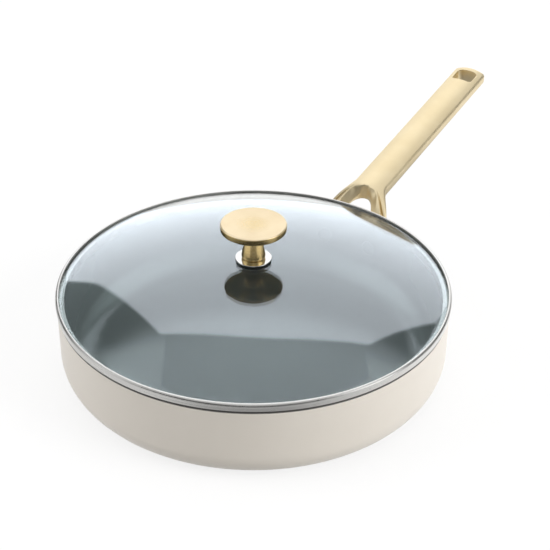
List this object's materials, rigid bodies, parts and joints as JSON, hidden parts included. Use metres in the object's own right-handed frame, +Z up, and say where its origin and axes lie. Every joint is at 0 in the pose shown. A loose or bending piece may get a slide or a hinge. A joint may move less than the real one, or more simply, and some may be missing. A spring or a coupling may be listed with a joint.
{
  "type": "saute pan with lid",
  "caption": "Straight-sided cream saute pan with a dark lining, a forked satin gold handle with a hanging hole, and a domed glass lid in a steel band with a disc knob.",
  "frame": {"origin": "centre of the base's underside, on the surface the pan stands on", "axes": "+Z up along the pan's axis, +X along the handle towards its tip, +Y to the left of the handle seen from the pan"},
  "size_m": [0.5035, 0.29, 0.1193],
  "materials": {
    "enamel": "smooth cream enamel over forged aluminium, satin gloss",
    "lining": "dark grey ceramic nonstick coat, fine speckle, satin",
    "base_steel": "turned magnetic steel plate with pressed holes",
    "gold": "satin pale gold plating over cast steel",
    "rivet_steel": "satin steel",
    "band_steel": "brushed round the ring, with a bright rolled lip",
    "glass": "clear tempered glass",
    "polished_steel": "polished steel",
    "silicone": "matt black silicone"
  },
  "bodies": {
    "pan": {"pan_body": "enamel", "nonstick_lining": "lining", "induction_plate": "base_steel", "handle": "gold", "rivet_left": "rivet_steel", "rivet_right": "rivet_steel"},
    "lid": {"lid_band": "band_steel", "lid_glass": "glass", "knob": "gold", "knob_washer": "polished_steel", "knob_grommet": "silicone", "lower_gasket": "silicone", "lower_washer": "polished_steel", "lock_washer": "polished_steel", "knob_screw": "polished_steel"}
  },
  "joints": [
    {"name": "lid_lift", "type": "slide", "parent": "pan", "child": "lid", "axis": [0, 0, 1], "range_m": [0, 0.15]}
  ]
}
